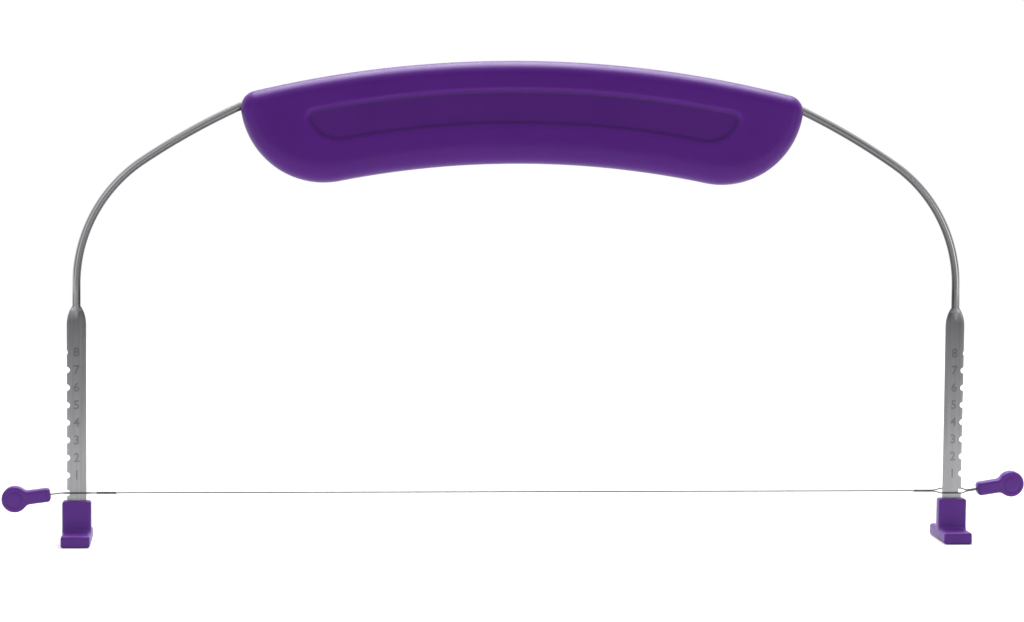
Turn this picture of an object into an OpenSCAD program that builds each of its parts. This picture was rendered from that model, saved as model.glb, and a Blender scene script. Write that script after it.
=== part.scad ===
// Adjustable cake leveler. A springy steel bow has its two ends pressed flat and
// notched, a hollow moulded handle grips its middle and a plastic foot slips on
// each end. A cutting wire spans the legs, and a wire loop at each of its ends
// straddles a leg and hooks behind a notch. A pull knob on each loop frees it.
// X runs along the cutting wire, Y from front to back and Z up. The origin is on
// the floor, midway between the feet.

/* [Overall] */
// Width over the outer faces of the two feet
overall_w = 312; // [300:1:324]
// Height from the floor to the top of the handle
overall_h = 165; // [155:1:175]

/* [Handle] */
// Length of the handle from end to end
handle_l = 192; // [176:1:204]
// Thickness of the handle from front to back
handle_t = 19; // [17:0.5:23]
// Height of the grip at the middle of the handle
handle_mid_h = 34.9; // [32:0.1:39]
// Radius of the arched top edge
handle_top_r = 385; // [300:5:450]
// Radius of the arched underside
handle_low_r = 315; // [250:5:360]
// Radius of the rounded lobe at each end
lobe_r = 28; // [24:0.5:30]
// Radius of the upper corner at each end
handle_corner_r = 5.8; // [4:0.1:7]
// Width of the rounding along the underside, seen from the front
rim_low_w = 7.5; // [5:0.1:9]
// Depth of the rounding, from the face towards the parting line
rim_depth = 6; // [4:0.1:7]
// Wall of the moulded shells
shell_wall = 2.4; // [1.6:0.1:3]
// Thickness of the inner ribs that hold the bow
rib_t = 1.6; // [1.2:0.1:2.4]
// Diameter of the locating pins in the front shell
pin_d = 3; // [2:0.1:4]
// Length of each locating pin past the parting line
pin_l = 4; // [2.5:0.1:5]

/* [Grip panel] */
// Margin between the top of the handle and the recessed panel
panel_top_margin = 8.3; // [7:0.1:12]
// Margin between the underside of the handle and the panel
panel_low_margin = 13.4; // [11:0.1:16]
// Margin between each end of the handle and the panel
panel_end_margin = 21.7; // [18:0.1:30]
// Radius of the rounded lower corner of the panel
panel_lobe_r = 9.5; // [8:0.1:11]
// Radius of the upper corner of the panel
panel_corner_r = 2.5; // [2:0.1:4]
// Depth of the panel below the face
panel_recess = 1.2; // [0.6:0.1:2]
// Width of the sloping step around the panel
panel_step_w = 1.5; // [0.8:0.1:1.8]

/* [Steel bow] */
// Diameter of the round bow wire
bow_d = 2.8; // [2.4:0.1:3.2]
// Drop from the top of the handle to the wire where it leaves the handle
bow_exit_drop = 16.1; // [15:0.1:18]
// Slope of the wire where it leaves the handle, in degrees
bow_exit_slope = 25; // [20:1:30]
// Radius of the hidden bends inside the handle
bow_bend_r = 12; // [10:0.5:14]
// Straight round length above each flattened leg
bow_stem_l = 7.3; // [4:0.1:10]
// Length over which the round wire turns into the flat leg
neck_l = 8; // [6:0.1:10]

/* [Notched legs] */
// Height of the top of the flat part above the floor
leg_top_h = 73; // [70:0.5:78]
// Width of the flat leg
leg_w = 6.6; // [6:0.1:7.2]
// Thickness of the flat leg
leg_t = 1; // [0.8:0.05:1.2]
// Height of the lowest notch above the floor
notch_low_h = 17.2; // [16.5:0.1:18.5]
// Distance from one notch to the next
notch_pitch = 6; // [5:0.1:6.4]
// Number of full notches in each leg
notch_count = 8; // [4:1:8]
// Radius of a notch, which is also its depth
notch_r = 1.05; // [0.7:0.05:1.4]
// Depth of the shallow mark above the full notches
mark_depth = 0.35; // [0.2:0.05:0.6]

/* [Feet] */
// Width of each foot along the cutting wire
foot_w = 9.8; // [9:0.1:11]
// Length of each foot from front to back
foot_l = 24; // [20:0.5:30]
// Thickness of the flat base of each foot
foot_base_h = 4.1; // [3.5:0.1:5]
// Height of the socket above the floor
foot_h = 14.6; // [12:0.1:15.2]
// Thickness of the socket from front to back
socket_t = 5; // [4:0.1:7]
// Thickness of the sole under the end of the leg
sole_t = 2.5; // [1.5:0.1:3]
// Radius of the fillet between the base and the socket
foot_fillet_r = 3.5; // [2:0.1:5]
// Radius of the rounded outer edges
foot_edge_r = 1; // [0.5:0.1:1.4]
// Gap around the leg in its socket
socket_gap = 0.05; // [0.03:0.01:0.1]

/* [Cutting wire] */
// Diameter of the cutting wire and of the loop strands
strand_d = 0.45; // [0.35:0.01:0.5]
// Length of the twist that closes each loop
twist_l = 6.6; // [6:0.1:8]
// Turns in each twist
twist_turns = 4; // [2:1:4]
// Length over which the strands open beside the leg
open_l = 3.4; // [2.5:0.1:5]
// Length over which the strands close again outside the leg
close_l = 2; // [1.6:0.1:4]
// Length of the paired strands between the loop and the knob
tail_l = 3.6; // [2:0.1:5]
// Gap between the strands and the faces of the leg
leg_gap = 0.15; // [0.1:0.01:0.3]
// Gap between the two strands where they lie side by side
strand_gap = 0.04; // [0.03:0.01:0.06]
// Radius of the strand's turn inside the knob
eye_r = 0.6; // [0.5:0.05:0.8]
// Roll of the left loop about the wire, in degrees
left_loop_roll = 0; // [0:1:45]
// Roll of the right loop about the wire, in degrees
right_loop_roll = 40; // [0:1:45]
// Roll of the left loop's strands where they enter the knob, in degrees
left_tail_roll = 0; // [0:1:65]
// Roll of the right loop's strands where they enter the knob, in degrees
right_tail_roll = 60; // [0:1:65]

/* [Pull knobs] */
// Diameter of the round end of a knob
knob_d = 8.9; // [8:0.1:10]
// Distance from the mouth of the neck to the centre of the round end
knob_reach = 12.1; // [11:0.1:14]
// Width of the neck
knob_neck_w = 4.4; // [4:0.1:5]
// Thickness of a knob from front to back
knob_t = 4.5; // [4:0.1:5.5]
// Radius of the rounded edges of a knob
knob_edge_r = 1.1; // [0.6:0.1:1.3]
// Radius of the fillets between the neck and the round end
knob_fillet_r = 2.6; // [1:0.1:4]
// Depth of the mouth that grips the paired strands
knob_mouth_l = 2.5; // [1.5:0.1:3]
// Lift of the left knob above level, in degrees
left_knob_lift = -7.4; // [-12:0.2:12]
// Lift of the right knob above level, in degrees
right_knob_lift = 8.8; // [-12:0.2:12]

/* [Hidden] */

// Colours
handle_purple = [0.33, 0.14, 0.46];
foot_purple = [0.38, 0.20, 0.55];
steel_grey = [0.63, 0.63, 0.65];
wire_grey = [0.55, 0.55, 0.58];

// Roundness of drilled and turned surfaces
$fn = 48;
// How far a cut runs past the surface it opens
overrun = 0.5;
// Gap around the bow where the shells hold it
bow_gap = 0.1;
// Gap around a locating pin in its bore
pin_gap = 0.05;
// Gap around the strands inside a knob
cast_gap = 0.06;

// Bow: places of the leg, the neck and the point where the wire leaves the handle
bow_r = bow_d / 2;
leg_x = overall_w / 2 - foot_w / 2;
neck_top_z = leg_top_h + neck_l;
stem_top_z = neck_top_z + bow_stem_l;
exit_x = handle_l / 2;
exit_z = overall_h - bow_exit_drop;
exit_a = 90 - bow_exit_slope;
core_x = exit_x - bow_bend_r * cos(exit_a);
core_z = exit_z + bow_bend_r * (1 - sin(exit_a));

// Two arcs carry the wire from the upright stem to the exit. Both keep bending
// the same way, so the angle where they meet lies between two limits that follow
// from the slope of the chord, and a share picks the place between them.
shoulder_share = 0.8;
chord_a = atan2(leg_x - exit_x, exit_z - stem_top_z);
shoulder_low_a = max(0, 2 * chord_a - exit_a);
shoulder_high_a = min(exit_a, 2 * chord_a);
shoulder_a = shoulder_low_a + shoulder_share * (shoulder_high_a - shoulder_low_a);
arc_dx = exit_x - leg_x;
arc_dz = exit_z - stem_top_z;
cos_step = cos(exit_a) - cos(shoulder_a);
sin_step = sin(exit_a) - sin(shoulder_a);
arc_det = (cos(shoulder_a) - 1) * sin_step - sin(shoulder_a) * cos_step;
shoulder_r = (arc_dx * sin_step - arc_dz * cos_step) / arc_det;
sweep_r = ((cos(shoulder_a) - 1) * arc_dz - sin(shoulder_a) * arc_dx) / arc_det;
shoulder_c = [leg_x - shoulder_r, stem_top_z];
sweep_c = [exit_x - sweep_r * cos(exit_a), exit_z - sweep_r * sin(exit_a)];

// Steps along the arcs of the wire
shoulder_steps = 12;
sweep_steps = 5;
bend_steps = 5;

// Handle: the same four-arc outline serves the body and the recessed panel
rim_top_share = 0.8;
rim_top_w = rim_top_share * handle_corner_r;
handle_low_z = overall_h - handle_mid_h;
cavity_depth = handle_t / 2 - panel_recess - shell_wall;
rim_steps = 5;
panel_steps = 3;
rib_shares = [-0.86, -0.56, -0.28, 0, 0.28, 0.56, 0.86];
pin_shares = [-0.62, -0.2, 0.2, 0.62];
boss_d = 2 * pin_d;
bore_extra = 1;

// Leg section: a rounded bar that grows out of a circle
section_points = 24;
round_power = 2;
flat_power = 5;
neck_steps = 7;
spread_share = 0.9;
spread_power = 2.5;

// Loops: stations along the wire, measured outwards from the middle of a leg
strand_r = strand_d / 2;
pair_r = strand_r + strand_gap / 2;
strand_sides = 6;
rings_per_turn = 9;
lead_l = 2 * strand_d;
clasp_y = leg_t / 2 + leg_gap + strand_r;
leg_in_s = -leg_w / 2;
twist_out_s = leg_in_s - open_l;
twist_in_s = twist_out_s - twist_l;
lead_s = twist_in_s - lead_l;
close_s = leg_w / 2 + close_l;
mouth_s = close_s + tail_l;
grip_s = mouth_s + knob_mouth_l;
eye_open_l = 3 * eye_r;
eye_s = grip_s + eye_open_l;
ramp_steps = 5;
turn_steps = 6;

// Knob edges
edge_steps = 4;
neck_corner_r = 1.2 * knob_edge_r;

// Smooth share from 0 to 1 that starts and ends level
function ease(t) = t * t * (3 - 2 * t);
function blend(a, b, t) = a + (b - a) * t;
function reversed(list) = [for (i = [len(list) - 1 : -1 : 0]) list[i]];

// An arc is [centre, radius, first angle, last angle, steps, side, line]. Side is
// 1 where it bulges out of the outline and -1 where it is hollow, and line is 1
// where a straight edge follows it. Inset draws the whole outline inwards, and
// rim times the width of the rounding draws it in further.
function rim_width(up) = blend(rim_top_w, rim_low_w, pow(max(0, -up), 2));
function arc_points(a, inset, rim) =
    [for (i = [0 : a[4] - 1 + a[6]])
        let (t = blend(a[2], a[3], i / a[4]),
            d = inset + rim * rim_width(a[5] * sin(t)))
        a[0] + (a[1] - a[5] * d) * [cos(t), sin(t)]];
function outline(arcs, inset = 0, rim = 0) =
    [for (a = arcs) each arc_points(a, inset, rim)];

// Outline of an arched grip with a lobe at each end. Every arc meets the next
// without a corner: the lobes lie against the hollow underside, and the corners
// lie inside both the top arc and the lobes.
function lobe_centre(half_l, low_z, low_r, lobe) =
    [half_l - lobe, low_z - low_r + sqrt(pow(low_r + lobe, 2) - pow(half_l - lobe, 2))];
function corner_centre(top_c, reach_top, lobe_c, reach_lobe) =
    let (d = lobe_c - top_c, far = norm(d), e = d / far,
        m = (pow(reach_top, 2) - pow(reach_lobe, 2) + pow(far, 2)) / (2 * far))
    top_c + m * e + sqrt(pow(reach_top, 2) - m * m) * [e[1], -e[0]];
function grip_arcs(half_l, top_z, top_r, low_z, low_r, lobe, corner) =
    let (top_c = [0, top_z - top_r],
        low_c = [0, low_z - low_r],
        lobe_c = lobe_centre(half_l, low_z, low_r, lobe),
        corner_c = corner_centre(top_c, top_r - corner, lobe_c, lobe - corner),
        top_a = atan2(corner_c[1] - top_c[1], corner_c[0]),
        side_a = atan2(corner_c[1] - lobe_c[1], corner_c[0] - lobe_c[0]),
        low_a = atan2(lobe_c[1] - low_c[1], lobe_c[0]),
        flip = [-1, 1])
    [[top_c, top_r, top_a, 180 - top_a, 24, 1, 0],
        [[-corner_c[0], corner_c[1]], corner, 180 - top_a, 180 - side_a, 5, 1, 0],
        [[-lobe_c[0], lobe_c[1]], lobe, 180 - side_a, 360 - low_a, 12, 1, 0],
        [low_c, low_r, 180 - low_a, low_a, 20, -1, 0],
        [lobe_c, lobe, low_a - 180, side_a, 12, 1, 0],
        [corner_c, corner, side_a, top_a, 5, 1, 0]];

body_arcs = grip_arcs(handle_l / 2, overall_h, handle_top_r, handle_low_z,
    handle_low_r, lobe_r, handle_corner_r);
panel_arcs = grip_arcs(handle_l / 2 - panel_end_margin, overall_h - panel_top_margin,
    handle_top_r - panel_top_margin, handle_low_z + panel_low_margin,
    handle_low_r + panel_low_margin, panel_lobe_r, panel_corner_r);

// A skin over a stack of rings with equally many points, closed by a cap at
// either end
function stack_faces(rings, n) = concat(
    [[for (i = [0 : n - 1]) n - 1 - i]],
    [for (j = [0 : rings - 2], i = [0 : n - 1])
        let (a = j * n + i, b = j * n + (i + 1) % n)
        each [[a, b, a + n], [b, b + n, a + n]]],
    [[for (i = [0 : n - 1]) (rings - 1) * n + i]]);
module ring_stack(rings) {
    polyhedron(points = [for (ring = rings) each ring],
        faces = stack_faces(len(rings), len(rings[0])), convexity = 6);
}

// A tube swept along a path that never runs straight up
function path_tangent(p, i) =
    let (d = p[min(i + 1, len(p) - 1)] - p[max(i - 1, 0)]) d / norm(d);
function path_ring(p, i, r, sides) =
    let (t = path_tangent(p, i), c = cross([0, 0, 1], t), u = c / norm(c), w = cross(t, u))
    [for (k = [0 : sides - 1])
        p[i] + r * (cos(-360 * k / sides) * u + sin(-360 * k / sides) * w)];
module tube(path, r, sides) {
    ring_stack([for (i = [0 : len(path) - 1]) path_ring(path, i, r, sides)]);
}

// Section of the wire at a share of the way from round to flat. It spreads fast
// below the round wire and ever more slowly towards the full width.
function spread(s) = 1 - pow(1 - min(1, s / spread_share), spread_power);
function section(flat) =
    let (a = blend(bow_r, leg_w / 2, flat), b = blend(bow_r, leg_t / 2, flat),
        q = 2 / blend(round_power, flat_power, flat))
    [for (i = [0 : section_points - 1])
        let (t = 360 * i / section_points)
        [a * sign(cos(t)) * pow(abs(cos(t)), q), b * sign(sin(t)) * pow(abs(sin(t)), q)]];

// A station of the wire is [place, turn, share flattened], where turn is the angle
// from X to the outer side of the bend. The right half runs from the foot of the
// leg up to the straight stretch inside the handle.
function arc_stations(centre, r, from_a, to_a, steps) =
    [for (i = [1 : steps])
        let (t = blend(from_a, to_a, i / steps)) [centre + r * [cos(t), sin(t)], t, 0]];
function bend_stations() =
    arc_stations([core_x, core_z - bow_bend_r], bow_bend_r, exit_a, 90, bend_steps);
function bow_half() = concat(
    [[[leg_x, sole_t], 0, 1]],
    [for (i = [0 : neck_steps])
        let (t = 1 - i / neck_steps) [[leg_x, neck_top_z - neck_l * t], 0, t]],
    [[[leg_x, stem_top_z], 0, 0]],
    arc_stations(shoulder_c, shoulder_r, 0, shoulder_a, shoulder_steps),
    arc_stations(sweep_c, sweep_r, shoulder_a, exit_a, sweep_steps),
    bend_stations());
function both_halves(half) =
    concat([for (s = half) [[-s[0][0], s[0][1]], 180 - s[1], s[2]]], reversed(half));
function ring_at(station, points) =
    let (out = [cos(station[1]), sin(station[1])])
    [for (p = points) let (place = station[0] + p[0] * out) [place[0], p[1], place[1]]];
function bow_rings() =
    [for (s = both_halves(bow_half())) ring_at(s, section(spread(s[2])))];

// Channel for the stretch of the bow inside the handle, which runs on along the
// exit slope past the handle's end. Its corners stand half a step off the parting
// plane.
function channel_rings() =
    let (r = bow_r + bow_gap, run_on = 2 * bow_d * [sin(exit_a), -cos(exit_a)],
        half = concat([[[exit_x, exit_z] + run_on, exit_a, 0], [[exit_x, exit_z], exit_a, 0]],
            bend_stations()),
        points = [for (i = [0 : section_points - 1])
            let (t = 360 * (i + 1 / 2) / section_points) r * [cos(t), sin(t)]])
    [for (s = both_halves(half)) ring_at(s, points)];

// Height of the hollow underside of the handle at a place along it
function underside_z(x) = handle_low_z - handle_low_r + sqrt(pow(handle_low_r, 2) - x * x);

// Half of the handle's skin, open at the parting line. The rings run from the
// panel's floor over its step, the face, the rounded rim and the parting face down
// the walls of the cavity, and end inside the floor that shell_inside lays there.
function shell_ring(arcs, depth, inset = 0, rim = 0) =
    [for (p = outline(arcs, inset, rim)) [p[0], -depth, p[1]]];
function shell_rings() = concat(
    [for (i = [0 : panel_steps])
        let (t = i / panel_steps)
        shell_ring(panel_arcs, handle_t / 2 - panel_recess * (1 - ease(t)),
            panel_step_w * (1 - t))],
    [for (i = [0 : rim_steps])
        let (v = 90 * (1 - i / rim_steps))
        shell_ring(body_arcs, handle_t / 2 - rim_depth * (1 - sin(v)), 0, 1 - cos(v))],
    [shell_ring(body_arcs, 0),
        shell_ring(body_arcs, 0, shell_wall),
        shell_ring(body_arcs, cavity_depth + shell_wall / 4, shell_wall)]);

// Places of the locating pins, midway between the bow and the underside
function pin_places() = [for (share = pin_shares)
    let (x = share * handle_l / 2) [x, (core_z - bow_r + underside_z(x)) / 2]];
module at_pins() {
    for (p = pin_places()) translate([p[0], 0, p[1]]) rotate([90, 0, 0]) children();
}

// Floor of the cavity, with the ribs and bosses that stand on it
module shell_inside() {
    inside = outline(body_arcs, shell_wall / 2);
    root = shell_wall / 2;
    rotate([90, 0, 0]) {
        translate([0, 0, cavity_depth]) linear_extrude(root) polygon(inside);
        linear_extrude(cavity_depth + root) intersection() {
            polygon(inside);
            for (share = rib_shares)
                translate([share * handle_l / 2 - rib_t / 2, 0]) square([rib_t, overall_h]);
        }
    }
    at_pins() cylinder(d = boss_d, h = cavity_depth + root);
}

module half_shell() {
    difference() {
        union() {
            ring_stack(shell_rings());
            shell_inside();
        }
        ring_stack(channel_rings());
    }
}

module handle_front_shell() {
    color(handle_purple) union() {
        half_shell();
        at_pins() translate([0, 0, -pin_l]) cylinder(d = pin_d, h = pin_l + overrun);
    }
}

module handle_rear_shell() {
    color(handle_purple) mirror([0, 1, 0]) difference() {
        half_shell();
        at_pins() translate([0, 0, -overrun])
            cylinder(d = pin_d + 2 * pin_gap, h = pin_l + bore_extra + overrun);
    }
}

// The notches and the shallow mark, cut into the outer edge of a leg
module notches() {
    edge_x = leg_x + leg_w / 2;
    for (i = [0 : notch_count])
        translate([edge_x + (i < notch_count ? 0 : notch_r - mark_depth), 0,
            notch_low_h + i * notch_pitch])
            rotate([90, 0, 0]) cylinder(r = notch_r, h = 2 * leg_t, center = true);
}

module bow_frame() {
    color(steel_grey) difference() {
        ring_stack(bow_rings());
        for (side = [0, 1]) mirror([side, 0, 0]) notches();
    }
}

// Rounded rectangle about the origin
function round_rect(w, h, r, steps = 4) =
    [for (c = [[1, 1], [-1, 1], [-1, -1], [1, -1]], i = [0 : steps])
        let (first = c[1] > 0 ? (c[0] > 0 ? 0 : 90) : (c[0] > 0 ? 270 : 180),
            t = first + 90 * i / steps)
        [c[0] * (w / 2 - r) + r * cos(t), c[1] * (h / 2 - r) + r * sin(t)]];

// Side view of the base with a fillet up to either face of the socket
function foot_profile() =
    let (r = foot_edge_r, f = foot_fillet_r, half = foot_l / 2, wall = socket_t / 2,
        sole_r = foot_edge_r / 2,
        arcs = [[[half - sole_r, sole_r], sole_r, -90, 0, 3, 1, 1],
            [[half - r, foot_base_h - r], r, 0, 90, 4, 1, 1],
            [[wall + f, foot_base_h + f], f, 270, 180, 6, -1, 1],
            [[-wall - f, foot_base_h + f], f, 360, 270, 6, -1, 1],
            [[r - half, foot_base_h - r], r, 90, 180, 4, 1, 1],
            [[sole_r - half, sole_r], sole_r, 180, 270, 3, 1, 1]])
    outline(arcs);

module foot() {
    color(foot_purple) translate([leg_x, 0, 0]) difference() {
        intersection() {
            union() {
                translate([-foot_w / 2, 0, 0]) rotate([90, 0, 90])
                    linear_extrude(foot_w) polygon(foot_profile());
                translate([0, 0, sole_t]) linear_extrude(foot_h - sole_t)
                    polygon(round_rect(foot_w, socket_t, foot_edge_r));
            }
            linear_extrude(foot_h) polygon(round_rect(foot_w, foot_l, foot_edge_r));
            translate([0, foot_l / 2, foot_h / 2]) rotate([90, 0, 0])
                linear_extrude(foot_l) polygon(round_rect(foot_w, foot_h, foot_edge_r));
        }
        translate([-leg_w / 2 - socket_gap, -leg_t / 2 - socket_gap, sole_t])
            cube([leg_w + 2 * socket_gap, leg_t + 2 * socket_gap, foot_h]);
    }
}
module left_foot() { mirror([1, 0, 0]) foot(); }
module right_foot() { foot(); }

module cutting_wire() {
    color(wire_grey) translate([-leg_x - lead_s, 0, notch_low_h]) rotate([0, 90, 0])
        cylinder(r = strand_r, h = 2 * (leg_x + lead_s));
}

// Where a strand lies at a station: reach is its distance from the middle line
// and roll the direction, both seen along the wire. Outside the loop the middle
// line rises with the knob.
function strand_place(s, reach, roll, lift) =
    let (past = max(0, s - close_s))
    [leg_x + min(s, close_s) + past * cos(lift), reach * cos(roll),
        notch_low_h + reach * sin(roll) + past * sin(lift)];

// Half of a loop from the twist to the knob, on the front or the rear of the leg.
// Outside the leg the strands turn on from the loop's roll to the tail's.
function strand_half(side, roll, tail_roll, lift) =
    let (clasp = clasp_y / cos(roll), rings = twist_turns * rings_per_turn)
    concat(
        [for (i = [0 : rings - 1])
            let (t = i / rings)
            strand_place(blend(twist_in_s, twist_out_s, t), side * pair_r,
                roll + 360 * twist_turns * (1 - t), lift)],
        [for (i = [0 : ramp_steps])
            let (t = i / ramp_steps)
            strand_place(blend(twist_out_s, leg_in_s, t),
                side * blend(pair_r, clasp, ease(t)), roll, lift)],
        [for (i = [0 : ramp_steps])
            let (t = i / ramp_steps)
            strand_place(blend(-leg_in_s, close_s, t),
                side * blend(clasp, pair_r, ease(t)), blend(roll, tail_roll, ease(t)), lift)],
        [for (i = [0 : ramp_steps])
            let (t = i / ramp_steps)
            strand_place(blend(grip_s, eye_s, t),
                side * blend(pair_r, eye_r, ease(t)), tail_roll, lift)]);

// The whole strand: from the cutting wire through the twist, along the front of
// the leg, round inside the knob and back along the rear to the end of the twist
function loop_path(roll, tail_roll, lift) = concat(
    [for (i = [0 : ramp_steps])
        let (t = max(0, i - 1) / ramp_steps)
        strand_place(lead_s + (i > 0 ? lead_l * t + strand_gap : 0),
            -pair_r * ease(t), roll, lift)],
    strand_half(-1, roll, tail_roll, lift),
    [for (i = [1 : turn_steps - 1])
        let (t = 180 * i / turn_steps)
        strand_place(eye_s + eye_r * sin(t), -eye_r * cos(t), tail_roll, lift)],
    reversed(strand_half(1, roll, tail_roll, lift)));

module wire_loop(roll, tail_roll, lift) {
    color(wire_grey) tube(loop_path(roll, tail_roll, lift), strand_r, strand_sides);
}
module left_wire_loop() {
    mirror([1, 0, 0]) wire_loop(left_loop_roll, left_tail_roll, left_knob_lift);
}
module right_wire_loop() {
    wire_loop(right_loop_roll, right_tail_roll, right_knob_lift);
}

// Outline of a knob lying along X with the mouth of its neck at zero
function knob_arcs() =
    let (r = knob_d / 2, f = knob_fillet_r, half = knob_neck_w / 2, c = neck_corner_r,
        fillet_x = knob_reach - sqrt(pow(r + f, 2) - pow(half + f, 2)),
        meet_a = atan2(half + f, knob_reach - fillet_x))
    [[[knob_reach, 0], r, meet_a - 180, 180 - meet_a, 22, 1, 0],
        [[fillet_x, half + f], f, -meet_a, -90, 4, -1, 1],
        [[c, half - c], c, 90, 180, 4, 1, 1],
        [[c, c - half], c, 180, 270, 4, 1, 1],
        [[fillet_x, -half - f], f, 90, meet_a, 4, -1, 0]];
function knob_rings() =
    [for (face = [1, -1], i = [0 : edge_steps])
        let (t = 90 * (face > 0 ? i : edge_steps - i) / edge_steps)
        [for (p = outline(knob_arcs(), knob_edge_r * (1 - sin(t))))
            [p[0], -face * (knob_t / 2 - knob_edge_r * (1 - cos(t))), p[1]]]];

module pull_knob(lift) {
    color(foot_purple) translate([leg_x + close_s, 0, notch_low_h]) rotate([0, -lift, 0])
        translate([tail_l, 0, 0]) difference() {
            ring_stack(knob_rings());
            rotate([0, 90, 0]) translate([0, 0, -overrun])
                cylinder(r = pair_r + strand_r + cast_gap, h = knob_mouth_l + 2 * overrun);
            translate([knob_mouth_l, 0, 0]) rotate([0, 90, 0])
                cylinder(r = eye_r + strand_r + cast_gap,
                    h = eye_open_l + eye_r + strand_r + cast_gap);
        }
}
module left_pull_knob() { mirror([1, 0, 0]) pull_knob(left_knob_lift); }
module right_pull_knob() { pull_knob(right_knob_lift); }

bow_frame();
handle_front_shell();
handle_rear_shell();
left_foot();
right_foot();
cutting_wire();
left_wire_loop();
right_wire_loop();
left_pull_knob();
right_pull_knob();
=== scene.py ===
# %% [markdown]
# # An adjustable cake leveler
# A springy steel bow carries a moulded handle, two notched flat legs and two
# plastic feet. A cutting wire spans the legs, and the loop at each of its ends
# hooks behind a notch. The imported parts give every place. This lesson dresses
# them: it works out finer surfaces with numpy, gives each one a finish built from
# shader nodes, and sets up a plain bright studio.

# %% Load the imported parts
import math

import bmesh
import bpy
import numpy as np
from mathutils import Matrix, Vector


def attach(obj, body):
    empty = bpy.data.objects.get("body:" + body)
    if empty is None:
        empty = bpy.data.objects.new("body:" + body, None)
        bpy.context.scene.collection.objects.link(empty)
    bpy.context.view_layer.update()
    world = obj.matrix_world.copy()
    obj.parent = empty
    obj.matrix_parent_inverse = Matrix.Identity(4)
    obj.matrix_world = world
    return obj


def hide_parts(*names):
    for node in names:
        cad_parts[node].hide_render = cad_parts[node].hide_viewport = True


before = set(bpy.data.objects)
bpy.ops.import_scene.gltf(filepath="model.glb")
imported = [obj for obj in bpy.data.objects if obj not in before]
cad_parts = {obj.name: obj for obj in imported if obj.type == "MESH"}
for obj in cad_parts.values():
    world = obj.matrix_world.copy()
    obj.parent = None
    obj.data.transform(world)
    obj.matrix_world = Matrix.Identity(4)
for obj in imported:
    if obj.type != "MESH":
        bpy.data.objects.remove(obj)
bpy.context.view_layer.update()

MM = 0.001

# %% [markdown]
# ## Camera and studio
# The photograph was taken from a little to the left and a little above, from
# about a metre away with a long lens. A camera is easiest to place from three
# directions: where it looks, its right and its up, which together are its
# rotation matrix.

# %% Camera
# The lens is given in pixels of the picture, the place in millimetres, angles in degrees
PHOTO_WIDE, SENSOR_MM = 1024, 36
FOCAL_PIXELS = 3042.4
CAMERA_PLACE = (-91.67, -1034.98, 162.20)
TURN, DIP, ROLL = (math.radians(a) for a in (4.887, 4.547, 0.522))


def camera_matrix(place, turn, dip, roll):
    """Look along a heading that is turned from +Y towards +X and dipped below level,
    then roll the right and up directions about that heading."""
    look = Vector((math.sin(turn) * math.cos(dip), math.cos(turn) * math.cos(dip), -math.sin(dip)))
    level = look.cross(Vector((0, 0, 1))).normalized()
    over = level.cross(look)
    right = level * math.cos(roll) + over * math.sin(roll)
    up = over * math.cos(roll) - level * math.sin(roll)
    turned = Matrix((right, up, -look)).transposed().to_4x4()
    return Matrix.Translation(Vector(place) * MM) @ turned


lens_data = bpy.data.cameras.new("camera")
lens_data.sensor_fit = "HORIZONTAL"
lens_data.sensor_width = SENSOR_MM
lens_data.lens = SENSOR_MM * FOCAL_PIXELS / PHOTO_WIDE
camera = bpy.data.objects.new("camera", lens_data)
camera.matrix_world = camera_matrix(CAMERA_PLACE, TURN, DIP, ROLL)
bpy.context.scene.collection.objects.link(camera)
bpy.context.scene.camera = camera
bpy.context.scene.view_settings.view_transform = "Standard"
print("lens:", round(lens_data.lens, 1), "mm")

# %% [markdown]
# A node tree is easier to read when each node is one call. `add` makes a node,
# sets its plain values by socket name and joins what is handed to it. Sky and
# floor both need to know which rays should meet plain white, so that question is
# one function.


# %% Node helpers
def add(tree, kind, values=None, **settings):
    """One shader node. A value that is a socket is linked, any other is set."""
    node = tree.nodes.new("ShaderNode" + kind)
    for name, value in settings.items():
        setattr(node, name, value)
    for name, value in (values or {}).items():
        socket = node.inputs[name]
        if isinstance(value, bpy.types.NodeSocket):
            tree.links.new(value, socket)
        else:
            socket.default_value = value
    return node


def blank_tree(owner):
    """The owner's node tree with nothing in it."""
    owner.use_nodes = True
    owner.node_tree.nodes.clear()
    return owner.node_tree


def meets_white(tree, behind):
    """How much of a ray meets plain white: all of one from the camera, through glass too,
    and of a reflection the share that behind gives for the place it comes from."""
    path = add(tree, "LightPath").outputs
    seen = add(tree, "Math", {0: path["Is Camera Ray"], 1: path["Is Transmission Ray"]},
               operation="MAXIMUM")
    mirror = add(tree, "Math", {0: path["Is Glossy Ray"], 1: behind}, operation="MULTIPLY")
    return add(tree, "Math", {0: seen.outputs[0], 1: mirror.outputs[0]}, operation="MAXIMUM").outputs[0]


print("node helpers ready")

# %% [markdown]
# The backdrop is white, as in the photograph, for the camera and for reflections
# of what stands behind the tool. What lights the parts is a softer sky: pale
# overhead and at the back, and dim behind the camera, so that steel has something
# dark to mirror.

# %% Backdrop and sky
WHITE = (1, 1, 1, 1)
SKY_FRONT, SKY_BACK, SKY_TOP = 0.24, 0.50, 0.30
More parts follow.
